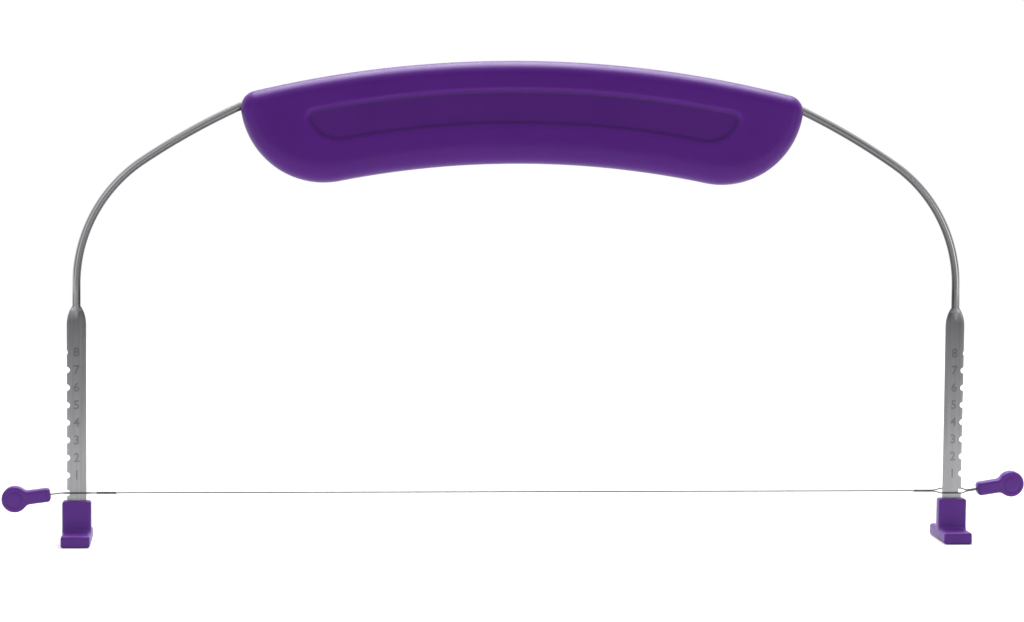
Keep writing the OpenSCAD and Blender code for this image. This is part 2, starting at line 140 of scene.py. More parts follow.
# How far from the middle the sky goes on changing, and where its reflection turns white
SKY_TURN, WHITE_FROM, WHITE_TO = 0.8, 0.1, 0.7
world = bpy.data.worlds.new("studio")
bpy.context.scene.world = world
tree = blank_tree(world)
direction = add(tree, "TexCoord").outputs["Generated"]
parts = add(tree, "SeparateXYZ", {0: direction})
across = add(tree, "MapRange", {"Value": parts.outputs["Y"], "From Min": -SKY_TURN,
                                "From Max": SKY_TURN, "To Min": SKY_FRONT, "To Max": SKY_BACK})
upward = add(tree, "MapRange", {"Value": parts.outputs["Z"], "To Max": SKY_TOP})
level = add(tree, "Math", {0: across.outputs[0], 1: upward.outputs[0]})
lit = add(tree, "Background", {"Color": WHITE, "Strength": level.outputs[0]})
white = add(tree, "Background", {"Color": WHITE, "Strength": 1.0})
behind = add(tree, "MapRange", {"Value": parts.outputs["Y"], "From Min": WHITE_FROM,
                                "From Max": WHITE_TO})
sky_mix = add(tree, "MixShader", {"Fac": meets_white(tree, behind.outputs[0]),
                                  1: lit.outputs[0], 2: white.outputs[0]})
add(tree, "OutputWorld", {"Surface": sky_mix.outputs[0]})
print("sky levels, front, back and added overhead:", SKY_FRONT, SKY_BACK, SKY_TOP)

# %% [markdown]
# The floor is a large sheet of white paper. Close to the tool it is a plain matt
# surface that takes the tool's shadow, with a little glow of its own that only
# cameras and reflections see. Further away it fades to pure white, so that no
# horizon shows.

# %% Floor
FLOOR_GLOW, FLOOR_HALF, FADE_FROM, FADE_TO = 0.34, 30.0, 0.45, 1.2
PAPER, BACK_EDGE = 0.70, 0.3
corners = [(x * FLOOR_HALF, y * FLOOR_HALF, 0) for x, y in ((-1, -1), (1, -1), (1, 1), (-1, 1))]
floor_mesh = bpy.data.meshes.new("floor")
floor_mesh.from_pydata(corners, [], [(0, 1, 2, 3)])
floor = bpy.data.objects.new("floor", floor_mesh)
bpy.context.scene.collection.objects.link(floor)
paper = bpy.data.materials.new("white_paper")
tree = blank_tree(paper)
matt = add(tree, "BsdfDiffuse", {"Color": (PAPER, PAPER, PAPER, 1)})
place = add(tree, "TexCoord").outputs["Object"]
away = add(tree, "VectorMath", {0: place}, operation="LENGTH")
far = add(tree, "MapRange", {"Value": away.outputs["Value"], "From Min": FADE_FROM, "From Max": FADE_TO},
          interpolation_type="SMOOTHSTEP")
back = add(tree, "MapRange", {"Value": add(tree, "SeparateXYZ", {0: place}).outputs["Y"],
                              "From Min": -BACK_EDGE, "From Max": BACK_EDGE})
reach = meets_white(tree, back.outputs[0])
glow_level = add(tree, "Math", {0: reach, 1: FLOOR_GLOW}, operation="MULTIPLY")
glow = add(tree, "Emission", {"Color": WHITE, "Strength": glow_level.outputs[0]})
near = add(tree, "AddShader", {0: matt.outputs[0], 1: glow.outputs[0]})
fade = add(tree, "Math", {0: far.outputs[0], 1: reach}, operation="MULTIPLY")
pure = add(tree, "Emission", {"Color": WHITE, "Strength": 1.0})
paper_mix = add(tree, "MixShader", {"Fac": fade.outputs[0], 1: near.outputs[0], 2: pure.outputs[0]})
add(tree, "OutputMaterial", {"Surface": paper_mix.outputs[0]})
floor_mesh.materials.append(paper)
print("floor glow:", FLOOR_GLOW, "and it fades to white from", FADE_FROM, "to", FADE_TO, "m")

# %% [markdown]
# Three soft lamps stand round the tool: a broad one above and behind it, which
# draws the bright line along the top of the handle, and two weak ones at the front
# that keep the faces from going flat. Most of the light on the faces comes up from
# the white floor.

# %% Lamps
AIM = Vector((0, 0, 0.08))


def soft_lamp(name, place, size, watts):
    """A square area lamp at a place, turned towards the middle of the tool."""
    data = bpy.data.lights.new(name, "AREA")
    data.size, data.energy = size, watts
    lamp = bpy.data.objects.new(name, data)
    lamp.location = place
    lamp.rotation_euler = (AIM - Vector(place)).to_track_quat("-Z", "Y").to_euler()
    bpy.context.scene.collection.objects.link(lamp)


soft_lamp("overhead", (0.06, 0.40, 1.05), size=0.9, watts=17.0)
soft_lamp("front_left", (-0.75, -0.95, 0.45), size=0.8, watts=1.2)
soft_lamp("front_right", (0.8, -0.9, 0.12), size=0.5, watts=1.2)

# %% [markdown]
# ## Surfaces from arrays
# Most pieces here are a stack of rings: closed loops with equally many points,
# each joined to the next by a band of quads. The whole stack is one array, so a
# shape is a formula and not a list of moves. The ends are closed with a polygon,
# or the last ring is drawn in to a line or a point, whose doubles are merged.

# %% Rings to meshes
# In metres: points nearer than MERGE are one, and edges shorter than SLIVER go
MERGE, SLIVER = 2e-7, 1e-8


def ring_quads(rings, around):
    """Quads of a stack: point i of ring j is joined to point i + 1 and to ring j + 1."""
    i = np.arange(around)
    j = np.arange(rings - 1)[:, None] * around
    a, b = j + i, j + (i + 1) % around
    return np.stack([a, b, b + around, a + around], axis=-1).reshape(-1, 4)


def soften(mesh, sharp):
    """Smooth shading but for the edges that bend by more than the angle."""
    mesh.shade_smooth()
    mesh.set_sharp_from_angle(angle=math.radians(sharp))


def stack_piece(name, rings, caps=(True, True), sharp=35.0, lay=None):
    """A mesh from an array [ring, point, xyz] in millimetres, closed by a polygon at the
    ends that caps names. Doubles are merged, then the faces are turned outwards.
    Lay is an array like rings, kept on the points as the attribute of that name, for
    the finishes that follow the surface."""
    count, around, _ = rings.shape
    faces = ring_quads(count, around).tolist()
    ends = [list(range(around)), list(range((count - 1) * around, count * around))]
    faces += [end for end, wanted in zip(ends, caps) if wanted]
    mesh = bpy.data.meshes.new(name)
    mesh.from_pydata((rings.reshape(-1, 3) * MM).tolist(), [], faces)
    if lay is not None:
        mesh.attributes.new("lay", "FLOAT_VECTOR", "POINT").data.foreach_set("vector", lay.ravel())
    shape = bmesh.new()
    shape.from_mesh(mesh)
    bmesh.ops.remove_doubles(shape, verts=shape.verts, dist=MERGE)
    bmesh.ops.dissolve_degenerate(shape, edges=shape.edges, dist=SLIVER)
    bmesh.ops.recalc_face_normals(shape, faces=shape.faces)
    if shape.calc_volume(signed=True) < 0:
        bmesh.ops.reverse_faces(shape, faces=shape.faces)
    open_edges = sum(not e.is_manifold for e in shape.edges)
    volume = shape.calc_volume() / MM**3
    shape.to_mesh(mesh)
    shape.free()
    soften(mesh, sharp)
    piece = bpy.data.objects.new(name, mesh)
    bpy.context.scene.collection.objects.link(piece)
    print(f"{name}: {len(mesh.polygons)} faces, {open_edges} open edges, {volume:.1f} mm3")
    return piece


def carve(piece, cutter, sharp=35.0):
    """Take the cutter's space out of the piece and throw the cutter away."""
    cut = piece.modifiers.new("cut", "BOOLEAN")
    cut.operation, cut.solver, cut.object = "DIFFERENCE", "EXACT", cutter
    bpy.context.view_layer.update()
    graph = bpy.context.evaluated_depsgraph_get()
    shape = bpy.data.meshes.new_from_object(piece.evaluated_get(graph))
    piece.modifiers.clear()
    piece.data = shape
    bpy.data.objects.remove(cutter)
    soften(shape, sharp)
    print(f"{piece.name}: {len(shape.polygons)} faces once carved")
    return piece


def dress(piece, body, nodes, finish):
    """The piece rides on a body, stands for the named parts and wears a finish."""
    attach(piece, body)
    if nodes:
        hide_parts(*nodes)
    piece.data.materials.clear()
    piece.data.materials.append(finish)
    return piece


def mirrored(rings):
    """The same rings on the other side of the middle plane, x turned to minus x."""
    return rings * np.array([-1.0, 1.0, 1.0])


print("ring tools ready")

# %% [markdown]
# ## Finishes
# Moulded plastic and drawn steel each need a fine relief and a slight unevenness
# of colour and gloss. One node group serves both: it adds a coarse and a fine
# noise and puts out a colour, a roughness and a height. Each material sets the
# group's sizes and keeps its own shader.

# %% A group for surface variation
# The stretch of the coarse noise that is used, and its share in the relief
CLOUD_LOW, CLOUD_HIGH, CLOUD_RELIEF = 0.3, 0.7, 0.3
# The places of a Mix node's two colours and its mixed colour among its sockets
MIX_A, MIX_B, MIX_OUT = 6, 7, 2


def variation_group():
    """Coarse noise shifts the colour and gloss, and a mix with fine noise is the relief."""
    group = bpy.data.node_groups.new("surface_variation", "ShaderNodeTree")
    for name, kind in (("Vector", "Vector"), ("Colour", "Color"), ("Second colour", "Color"),
                       ("Coarse scale", "Float"), ("Fine scale", "Float"), ("Gloss low", "Float"),
                       ("Gloss high", "Float")):
        group.interface.new_socket(name, in_out="INPUT", socket_type="NodeSocket" + kind)
    for name, kind in (("Colour", "Color"), ("Roughness", "Float"), ("Height", "Float")):
        group.interface.new_socket(name, in_out="OUTPUT", socket_type="NodeSocket" + kind)
    given, out = group.nodes.new("NodeGroupInput"), group.nodes.new("NodeGroupOutput")
    coarse = add(group, "TexNoise", {"Vector": given.outputs["Vector"],
                                     "Scale": given.outputs["Coarse scale"], "Detail": 3.0})
    fine = add(group, "TexNoise", {"Vector": given.outputs["Vector"],
                                   "Scale": given.outputs["Fine scale"], "Detail": 2.0})
    level = add(group, "MapRange", {"Value": coarse.outputs["Fac"], "From Min": CLOUD_LOW,
                                    "From Max": CLOUD_HIGH})
    colour = add(group, "Mix", {0: level.outputs[0], MIX_A: given.outputs["Colour"],
                                MIX_B: given.outputs["Second colour"]}, data_type="RGBA")
    gloss = add(group, "MapRange", {"Value": level.outputs[0], "To Min": given.outputs["Gloss low"],
                                    "To Max": given.outputs["Gloss high"]})
    height = add(group, "Math", {0: level.outputs[0], 1: CLOUD_RELIEF, 2: fine.outputs["Fac"]},
                 operation="MULTIPLY_ADD")
    group.links.new(colour.outputs[MIX_OUT], out.inputs["Colour"])
    group.links.new(gloss.outputs[0], out.inputs["Roughness"])
    group.links.new(height.outputs[0], out.inputs["Height"])
    return group


def skin_of(tree, vector, colours, coarse, fine, gloss):
    """The variation group in a material, with its own colours, sizes and gloss. A colour is
    four numbers or a socket."""
    return add(tree, "Group", {"Vector": vector, "Colour": colours[0], "Second colour": colours[1],
                               "Coarse scale": coarse, "Fine scale": fine,
                               "Gloss low": gloss[0], "Gloss high": gloss[1]}, node_tree=VARIATION)


VARIATION = variation_group()
print("group inputs:", [s.name for s in VARIATION.interface.items_tree if s.in_out == "INPUT"])

# %% [markdown]
# The handle, feet and knobs are moulded plastic in two tones of deep purple. A mould leaves a fine matt
# grain, so the gloss is broad. In and round the handle's recessed panel, light and shade are painted into
# the colour: the floor and the inner corner are darker as painted shade, and the outer lip is paler as a
# painted highlight. A painted picture could carry such marks, but an attribute on the points needs no
# picture and follows the surface.

# %% Plastics
# Noise cells in a metre for the cloudiness, and the three marks' changes of tone: painted shade on the
# recess floor and inner corner, and a painted highlight on its lip
CLOUDINESS = 60.0
RECESS_FLOOR_SHADE, LIP_HIGHLIGHT, CORNER_SHADE = -0.12, 0.22, -0.24


def plastic(name, colours, gloss, grain_mm, relief_mm, painted_recess_light=False):
    """Moulded plastic: the mould's spark-eroded grain as relief, and a faint cloudiness.
    A piece with painted recess light keeps three marks in its attribute lay: the floor of a recess and its
    inner corner, which are darkened as painted shade, and its outer lip, which is made paler as a painted
    highlight."""
    material = bpy.data.materials.new(name)
    tree = blank_tree(material)
    place = add(tree, "TexCoord").outputs["Object"]
    skin = skin_of(tree, place, [(*c, 1) for c in colours], CLOUDINESS, 1 / (grain_mm * MM), gloss)
    colour = skin.outputs["Colour"]
    if painted_recess_light:
        # The lay marks paint shade on the recess floor and inner corner, and a highlight on its lip
        marks = add(tree, "Attribute", attribute_name="lay").outputs["Vector"]
        shift = add(tree, "VectorMath", {0: marks, 1: (RECESS_FLOOR_SHADE, LIP_HIGHLIGHT, CORNER_SHADE)},
                    operation="DOT_PRODUCT")
        tone = add(tree, "Math", {0: shift.outputs["Value"], 1: 1.0})
        shaded = add(tree, "VectorMath", {0: colour, "Scale": tone.outputs[0]}, operation="SCALE")
        colour = shaded.outputs[0]
    bump = add(tree, "Bump", {"Height": skin.outputs["Height"], "Distance": relief_mm * MM})
    shader = add(tree, "BsdfPrincipled", {"Base Color": colour, "Roughness": skin.outputs["Roughness"],
                                          "Normal": bump.outputs[0], "IOR": 1.5,
                                          "Specular IOR Level": 0.3})
    add(tree, "OutputMaterial", {"Surface": shader.outputs[0]})
    return material


handle_plastic = plastic("handle_plastic", ((0.084, 0.004, 0.212), (0.093, 0.005, 0.232)),
                         gloss=(0.36, 0.45), grain_mm=0.45, relief_mm=0.012, painted_recess_light=True)
foot_plastic = plastic("foot_plastic", ((0.105, 0.021, 0.250), (0.120, 0.026, 0.278)),
                       gloss=(0.33, 0.42), grain_mm=0.6, relief_mm=0.006)
print("plastics:", handle_plastic.name, foot_plastic.name)

# %% [markdown]
# The bow is drawn steel wire. The die leaves fine streaks along the metal. The flat legs are pale at the
# foot and darker towards the neck as painted shade. The round wire above is more polished, and painted
# light makes it paler on the outer side of the bow and darker on the inner. Streaks could be painted along
# a picture's length. Here each point of a piece knows its place on the section and along the wire, so
# stretched noise follows every bend.

# %% Steels
# Heights in millimetres between which painted shade darkens the leg, and the bar turns to round wire
LEG_SHADE_FROM, LEG_SHADE_TO, ROUND_FROM, ROUND_TO = 30.0, 84.0, 76.0, 86.0
# Blue against red in the grey, and the round wire's roughness against the leg's
COOL, ROUND_POLISH = 1.04, 0.5
# The round wire's painted light: its brightness on its inner and outer side, at this far from its middle
INNER_PAINTED_LIGHT, OUTER_PAINTED_LIGHT, SIDE_REACH = 0.6, 4.0, 1.0
# Noise cells in a millimetre, across the streaks and for the relief
STREAKS, FINE_STREAKS = 1.6, 7.0


def steel(name, low, high, gloss, relief_mm, has_lay=True):
    """Drawn steel: noise stretched along the metal gives the streaks that the die leaves.
    The attribute lay holds the place on the section and a slow run along the wire, and a piece without it
    takes its own place. Low and high are the two greys of the streaks at the foot of a leg and above its
    neck; the change between them is painted shade that darkens the leg towards the neck. Above the neck
    the wire is smoother, and painted light makes it paler on the outer side of the bow and darker on the
    inner."""
    material = bpy.data.materials.new(name)
    tree = blank_tree(material)
    place = add(tree, "TexCoord").outputs["Object"]
    lay = add(tree, "Attribute", attribute_name="lay").outputs["Vector"]
    height = add(tree, "SeparateXYZ", {0: place}).outputs["Z"]
    # Painted shade: the leg's grey darkens from the foot towards the neck
    rise = add(tree, "MapRange", {"Value": height, "From Min": LEG_SHADE_FROM * MM, "From Max": LEG_SHADE_TO * MM})
    greys = [add(tree, "Mix", {0: rise.outputs[0], MIX_A: (bright, bright, bright * COOL, 1),
                               MIX_B: (shaded_grey, shaded_grey, shaded_grey * COOL, 1)}, data_type="RGBA").outputs[MIX_OUT]
             for bright, shaded_grey in zip(low, high)]
    vector, unit = (lay, 1.0) if has_lay else (place, 1 / MM)
    skin = skin_of(tree, vector, greys, STREAKS * unit, FINE_STREAKS * unit, gloss)
    bump = add(tree, "Bump", {"Height": skin.outputs["Height"], "Distance": relief_mm * MM})
    wire = add(tree, "MapRange", {"Value": height, "From Min": ROUND_FROM * MM, "From Max": ROUND_TO * MM})
    polish = add(tree, "Math", {0: wire.outputs[0], 1: ROUND_POLISH - 1, 2: 1.0}, operation="MULTIPLY_ADD")
    rough = add(tree, "Math", {0: skin.outputs["Roughness"], 1: polish.outputs[0]}, operation="MULTIPLY")
    # Painted light: the round wire is made paler on the outer side of the bow and darker on the inner
    side = add(tree, "MapRange", {"Value": add(tree, "SeparateXYZ", {0: lay}).outputs["X"],
                                  "From Min": -SIDE_REACH, "From Max": SIDE_REACH,
                                  "To Min": INNER_PAINTED_LIGHT - 1, "To Max": OUTER_PAINTED_LIGHT - 1})
    painted_light = add(tree, "Math", {0: wire.outputs[0], 1: side.outputs[0], 2: 1.0}, operation="MULTIPLY_ADD")
    colour = add(tree, "VectorMath", {0: skin.outputs["Colour"], "Scale": painted_light.outputs[0]},
                 operation="SCALE")
    shader = add(tree, "BsdfPrincipled", {"Base Color": colour.outputs[0], "Metallic": 1.0,
                                          "Roughness": rough.outputs[0], "Normal": bump.outputs[0]})
    add(tree, "OutputMaterial", {"Surface": shader.outputs[0]})
    return material


bow_steel = steel("bow_steel", low=(0.37, 0.46), high=(0.13, 0.18), gloss=(0.32, 0.42), relief_mm=0.0015)
wire_steel = steel("wire_steel", low=(0.10, 0.15), high=(0.10, 0.15), gloss=(0.30, 0.42), relief_mm=0.001)
stamp_steel = steel("stamp_steel", low=(0.25, 0.31), high=(0.09, 0.12), gloss=(0.45, 0.55),
                    relief_mm=0.001, has_lay=False)
print("steels:", bow_steel.name, wire_steel.name, stamp_steel.name)

# %% [markdown]
# ## The handle
# Two moulded halves meet on the middle plane. Their outline is six arcs that
# touch without a corner: a long arched top, a hollow underside, a full lobe at
# each end and a tight upper corner. Six smaller arcs of the same kind bound the
# recessed grip panel, so one function serves both. Sizes are in millimetres and
# angles in degrees, here and for every piece that follows.

# %% Handle sizes
HANDLE_HALF, HANDLE_TOP, HANDLE_THICK, LOW_Z, LOW_R = 96.0, 165.0, 19.0, 130.1, 315.0
# Width of the rounding where the rim faces up and down, and its depth
RIM_TOP, RIM_LOW, RIM_DEPTH = 4.64, 7.5, 6.0
# Thickness of the moulding, depth of the panel and width of the step round it
WALL, RECESS, STEP = 2.4, 1.2, 2.4
TOP_MARGIN, LOW_MARGIN, END_MARGIN = 8.7, 12.2, 20.9
BODY = {"half": HANDLE_HALF, "top": HANDLE_TOP, "top_r": 385.0, "low": LOW_Z, "low_r": LOW_R,
        "lobe": 28.0, "corner": 5.8}
PANEL = {"half": HANDLE_HALF - END_MARGIN, "top": HANDLE_TOP - TOP_MARGIN, "top_r": 360.0,
         "low": LOW_Z + LOW_MARGIN, "low_r": LOW_R + LOW_MARGIN, "lobe": 12.0, "corner": 3.7}
# Points on each arc: top, corner, lobe, underside, lobe, corner
ARC_STEPS = (96, 14, 44, 84, 44, 14)


def meeting(a, reach_a, b, reach_b):
    """The point at a given reach from a and from b, on the right when looking from a to b:
    some way m along the line between them, and then square to it."""
    d = b - a
    far = np.hypot(*d)
    m = (reach_a**2 - reach_b**2 + far**2) / (2 * far)
    e = d / far
    return a + m * e + math.sqrt(reach_a**2 - m * m) * np.array([e[1], -e[0]])


def grip_arcs(half, top, top_r, low, low_r, lobe, corner):
    """Six arcs [centre, radius, first and last angle, side] that touch end to end."""
    top_c, low_c = np.array([0, top - top_r]), np.array([0, low - low_r])
    lobe_c = low_c + np.array([half - lobe, math.sqrt((low_r + lobe) ** 2 - (half - lobe) ** 2)])
    corner_c = meeting(top_c, top_r - corner, lobe_c, lobe - corner)
    top_a = math.degrees(math.atan2(*(corner_c - top_c)[::-1]))
    side_a = math.degrees(math.atan2(*(corner_c - lobe_c)[::-1]))
    low_a = math.degrees(math.atan2(*(lobe_c - low_c)[::-1]))
    flip = np.array([-1, 1])
    return [(top_c, top_r, top_a, 180 - top_a, 1),
            (corner_c * flip, corner, 180 - top_a, 180 - side_a, 1),
            (lobe_c * flip, lobe, 180 - side_a, 360 - low_a, 1),
            (low_c, low_r, 180 - low_a, low_a, -1),
            (lobe_c, lobe, low_a - 180, side_a, 1), (corner_c, corner, side_a, top_a, 1)]


def arc_outline(arcs, inset=0.0, rim=0.0):
    """Points along touching arcs. Each radius shrinks by the inset, and by rim times the
    rounding's width, which is small where the outline faces up and grows with the
    square of facing down. Hollow arcs, whose side is -1, grow instead."""
    rows = []
    for (centre, radius, first, last, side), count in zip(arcs, ARC_STEPS):
        t = np.radians(first + (last - first) * np.arange(count) / count)
        width = RIM_TOP + (RIM_LOW - RIM_TOP) * np.maximum(0, -side * np.sin(t)) ** 2
        r = radius - side * (inset + rim * width)
        rows.append(centre + r[:, None] * np.stack([np.cos(t), np.sin(t)], axis=1))
    return np.concatenate(rows)


BODY_ARCS, PANEL_ARCS = grip_arcs(**BODY), grip_arcs(**PANEL)
print("outline points:", sum(ARC_STEPS))

# %% [markdown]
# Each half is one skin. Its rings run from the middle line of the panel's floor out
# over the soft step, across the face, round the rim to the parting line, and back
# inside along the wall to the middle of the hollow. The first and the last ring are
# folded flat onto such a line. A block with a cut recess and bevelled edges would be
# quicker to set up, but bevels break where arcs of different radius meet, and the
# rings keep step and rim even all round.

# %% Handle halves
# Shares of the way across the floor, up the step and across the face
FLOOR_SHARES, FACE_SHARES = (0, 0.2, 0.4, 0.6, 0.8, 0.92, 1), (0.08, 0.2, 0.4, 0.6, 0.8)
CLIMB, INSIDE_SHARES = np.linspace(0, 1, 13)[1:], np.linspace(0, 1, 6)
RIM_TURN = np.linspace(np.pi / 2, 0, 17)
# Middle and half width of the lip's painted highlight and the inner corner's painted shade, as shares of
# the climb
LIP_AT, LIP_HALF, CORNER_AT, CORNER_HALF, CORNER_START = 0.7, 0.4, 0.1, 0.35, 0.6
# The small rounding at the parting line: distance from the middle plane, and inset
PARTING = ((0.45, 0), (0.2, 0.02), (0.08, 0.09), (0, 0.22), (0, WALL))


def ease(t):
    """A share from 0 to 1 that starts and ends level."""
    return t * t * (3 - 2 * t)


def hump(t, middle, half):
    """1 at the middle, and evenly down to 0 at half a width from it."""
    return max(0, 1 - abs(t - middle) / half)


def at_depth(flat, depth):
    """Outline points put at a distance in front of the middle plane."""
    return np.stack([flat[:, 0], np.full(len(flat), -depth), flat[:, 1]], axis=1)


def middle_line(flat, sizes):
    """For each outline point, the place on a line that runs along the middle of the shape:
    x held short of the ends, z halfway between the two long arcs."""
    reach = sizes["half"] - sizes["lobe"]
    x = np.clip(flat[:, 0], -reach, reach)
    top = sizes["top"] - sizes["top_r"] + np.sqrt(sizes["top_r"] ** 2 - x * x)
    low = sizes["low"] - sizes["low_r"] + np.sqrt(sizes["low_r"] ** 2 - x * x)
    return np.stack([x, (top + low) / 2], axis=1)


def handle_rings():
    """Rings of the front half, each from a formula of one parameter, and the marks of each ring: how much
    it is floor, lip or inner corner of the recess, which the finish turns into painted shade and a painted
    highlight."""
    face = HANDLE_THICK / 2
    inner, edge = arc_outline(PANEL_ARCS, STEP), arc_outline(PANEL_ARCS)
    start, wall = arc_outline(BODY_ARCS, 0, 1), arc_outline(BODY_ARCS, WALL)
    middle, hollow = middle_line(inner, PANEL), middle_line(wall, BODY)
    rings = [at_depth(middle + (inner - middle) * t, face - RECESS) for t in FLOOR_SHARES]
    rings += [at_depth(arc_outline(PANEL_ARCS, STEP * (1 - t)), face - RECESS * (1 - ease(t)))
              for t in CLIMB]
    rings += [at_depth(edge + (start - edge) * t, face) for t in FACE_SHARES]
    rings += [at_depth(arc_outline(BODY_ARCS, 0, 1 - np.cos(v)), face - RIM_DEPTH * (1 - np.sin(v)))
              for v in RIM_TURN]
    rings += [at_depth(arc_outline(BODY_ARCS, inset), depth) for depth, inset in PARTING]
    rings += [at_depth(wall + (hollow - wall) * t, face - RECESS - WALL) for t in INSIDE_SHARES]
    # Painted light: the floor rings and the climb carry weights for painted shade on the floor and inner
    # corner and for a painted highlight on the lip
    painted_recess_light = [(1, 0, 0)] * (len(FLOOR_SHARES) - 1) + [(1, 0, CORNER_START)]
    painted_recess_light += [(1 - ease(t), hump(t, LIP_AT, LIP_HALF), hump(t, CORNER_AT, CORNER_HALF)) for t in CLIMB]
    marks = np.zeros((len(rings), 3))
    marks[:len(painted_recess_light)] = painted_recess_light
    return np.array(rings), np.broadcast_to(marks[:, None], (len(rings), len(inner), 3))


front_rings, front_marks = handle_rings()
handle_front = stack_piece("handle_front", front_rings, caps=(False, False), sharp=50, lay=front_marks)
handle_rear = stack_piece("handle_rear", front_rings * np.array([1.0, -1.0, 1.0]),
                          caps=(False, False), sharp=50, lay=front_marks)
print("rings in each half:", len(front_rings))

# %% [markdown]
# ## The bow
# One length of spring wire runs from leg to leg through the handle. Its path is a
# chain of arcs that touch, and its section is a circle. Each end of the wire was
# pressed into a flat bar, and the rest of the round tapers off below the neck as a
# ridge. The notches are part of the same skin: a half circle is taken off the
# outer side of each section, so no cutting is needed. A curve with a round bevel
# would make the wire but not its flat ends, so the sections are worked out here.

# %% Bow sizes
# The round wire's radius, the leg's place and the halves of its width and thickness
BOW_R, LEG_X, LEG_HALF, LEG_THIN = 1.4, 151.1, 3.3, 0.5
# The neck's top, its length and that of the ridge on it, the upright wire's top and
# the leg's lower end
NECK_TOP, NECK_L, RIDGE_L, STEM_TOP, SOLE = 81.0, 7.2, 4.6, 88.3, 2.5
# Where the wire goes into the handle, its slope there and its bend inside
EXIT_X, EXIT_Z, EXIT_A, BEND_R = 96.0, 148.9, 65.0, 12.0
# Share of the slope that the first, tight arc turns, and the rings on each arc
FIRST_TURN, BOW_STEPS = 0.8, (40, 16, 12)
# Notches: lowest, spacing, count, radius and its growth towards the faces; MARK is the
# depth of the shallow mark over the last of them
NOTCH_LOW, PITCH, NOTCHES, NOTCH_R, NOTCH_FLARE, MARK = 17.2, 6.0, 8, 1.05, 0.12, 0.35
# Powers of a section's fall in thickness: an ellipse and a flat bar
ELLIPSE, FLAT = 2, 5
# Rings over half a notch's circle, along the plain leg and along the neck
NOTCH_RINGS, LEG_RINGS, NECK_RINGS = 19, 26, 34
AROUND = 96
TURNS = np.arange(AROUND) / AROUND * 2 * np.pi


def towards(degrees):
    """Unit vector in the plane of the bow."""
    return np.array([math.cos(math.radians(degrees)), math.sin(math.radians(degrees))])


def bow_arcs():
    """Centre, radius and angles of the arcs that carry the wire from upright to level. The
    first two touch each other and end where the upright wire and the handle are, which
    gives two equations for their radii."""
    chord = math.degrees(math.atan2(LEG_X - EXIT_X, EXIT_Z - STEM_TOP))
    least, most = max(0, 2 * chord - EXIT_A), min(EXIT_A, 2 * chord)
    turn = least + FIRST_TURN * (most - least)
    exit_place, foot_place = np.array([EXIT_X, EXIT_Z]), np.array([LEG_X, STEM_TOP])
    system = np.stack([towards(turn) - towards(0), towards(EXIT_A) - towards(turn)], axis=1)
    small, large = np.linalg.solve(system, exit_place - foot_place)
    return [(foot_place - small * towards(0), small, 0, turn, BOW_STEPS[0]),
            (exit_place - large * towards(EXIT_A), large, turn, EXIT_A, BOW_STEPS[1]),
            (exit_place - BEND_R * towards(EXIT_A), BEND_R, EXIT_A, 90, BOW_STEPS[2])]


print("arcs of the bow, radius and end angle:", [(round(a[1], 1), round(a[3], 1)) for a in bow_arcs()])

# %% [markdown]
# A press squeezes round wire into a flat bar, and the metal has to go somewhere:
# the neck spreads fast and then slowly, and a ridge is left over its middle. One
# family of sections covers the circle, the bar and what lies between, so the bow
# stays a single skin that bends smoothly from one to the next.

# %% Sections of the bow
# Share of the neck in which the wire flattens, and how fast its web spreads
FLATTEN, SPREAD = 0.22, 2.5
# How much a millimetre along the wire counts in the lay, for long streaks
BOW_RUN = 0.02


def bar_section(half, thin, power):
    """A rounded bar: across the width as a cosine, and the thickness falls off with the
    given power of the distance from the middle."""
    x = np.cos(TURNS)
    y = np.sign(np.sin(TURNS)) * np.maximum(0, 1 - np.abs(x) ** power) ** (1 / power)
    return np.stack([half * x, thin * y], axis=1)


def neck_section(down):
    """The web, which spreads fast at first and then ever more slowly, and over it the ridge
    that is left of the round wire, an ellipse that shrinks evenly to nothing. The larger of
    the two counts. Down goes from 0 at the round wire to 1 at the full width."""
    share = ease(min(1, down / FLATTEN))
    web = bar_section(BOW_R + (LEG_HALF - BOW_R) * (1 - (1 - down) ** SPREAD),
                      BOW_R + (LEG_THIN - BOW_R) * share, ELLIPSE + (FLAT - ELLIPSE) * share)
    left = max(0, 1 - down * NECK_L / RIDGE_L)
    height = LEG_THIN + (BOW_R - LEG_THIN) * left
    width = max(1e-6, BOW_R * left)  # never 0, because the next line divides by it
    ridge = height * np.sqrt(np.maximum(0, 1 - (web[:, 0] / width) ** 2))
    lean = np.abs(web[:, 1])
    return np.stack([web[:, 0], np.sign(web[:, 1]) * np.maximum(lean, ridge)], axis=1)


def notch_depth(z, y):
    """How far the notches cut in from the edge at heights z and thickness places y: the
    half chord of a circle on the edge, a little wider towards the faces."""
    number = np.arange(NOTCHES + 1)
    out = np.where(number < NOTCHES, 0, NOTCH_R - MARK)
    radius = NOTCH_R + NOTCH_FLARE * (np.abs(y) / LEG_THIN)[None, :, None] ** 6
    rise = z[:, None, None] - (NOTCH_LOW + PITCH * number)
    chord = np.sqrt(np.maximum(0, radius**2 - rise**2))
    return np.maximum(0, chord - out).max(axis=2)


def leg_heights():
    """Heights of the leg's rings, close together where they pass a notch."""
    wave = (NOTCH_R + NOTCH_FLARE) * np.cos(np.linspace(0, np.pi, NOTCH_RINGS))
    marks = (NOTCH_LOW + PITCH * np.arange(NOTCHES + 1))[:, None] + wave
    plain = np.linspace(SOLE, NECK_TOP - NECK_L, LEG_RINGS)[:-1]
    return np.unique(np.round(np.concatenate([marks.ravel(), plain]), 3))


